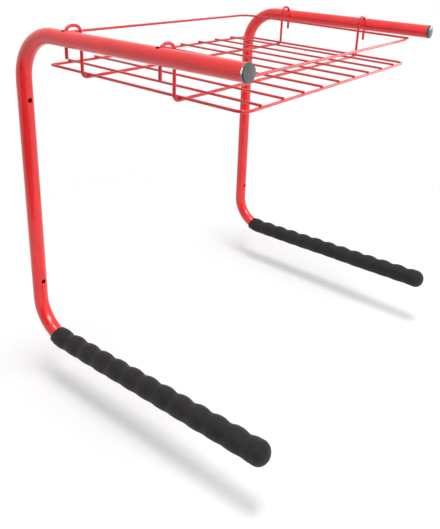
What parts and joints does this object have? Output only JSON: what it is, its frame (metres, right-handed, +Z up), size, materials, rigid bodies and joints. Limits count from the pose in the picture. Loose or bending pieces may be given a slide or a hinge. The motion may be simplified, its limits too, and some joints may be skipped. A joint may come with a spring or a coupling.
{
  "type": "wall bike rack",
  "caption": "Wall rack for bicycles: two bent tube arms with ribbed foam grips on their low arms, and a wire shelf that hooks over the high arms and lifts off.",
  "frame": {"origin": "centre of the rectangle of four wall screw holes, on the wall plane that the posts touch", "axes": "+Z up, +Y into the wall, so the arms point along -Y; +X along the wall, to the right of a person who faces it"},
  "size_m": [0.6472, 0.5266, 0.5899],
  "materials": {
    "tube_paint": "gloss",
    "wire_paint": "gloss",
    "foam": "matte",
    "cap_plastic": "satin",
    "plug_plastic": "satin"
  },
  "bodies": {
    "frame": {"left_arm_tube": "tube_paint", "left_end_cap": "cap_plastic", "left_inner_plug": "plug_plastic", "left_foam_grip": "foam", "right_arm_tube": "tube_paint", "right_end_cap": "cap_plastic", "right_inner_plug": "plug_plastic", "right_foam_grip": "foam"},
    "shelf": {"shelf_rim_wire": "wire_paint", "slat_wire_1": "wire_paint", "slat_wire_2": "wire_paint", "slat_wire_3": "wire_paint", "slat_wire_4": "wire_paint", "slat_wire_5": "wire_paint", "slat_wire_6": "wire_paint", "slat_wire_7": "wire_paint", "slat_wire_8": "wire_paint", "slat_wire_9": "wire_paint", "upper_rail_wire": "wire_paint", "upper_rail_front_wire": "wire_paint", "rear_hook_wire": "wire_paint", "front_hook_wire": "wire_paint"}
  },
  "joints": [
    {"name": "shelf_lift", "type": "slide", "parent": "frame", "child": "shelf", "axis": [0, 0, 1], "range_m": [0, 0.05]}
  ]
}
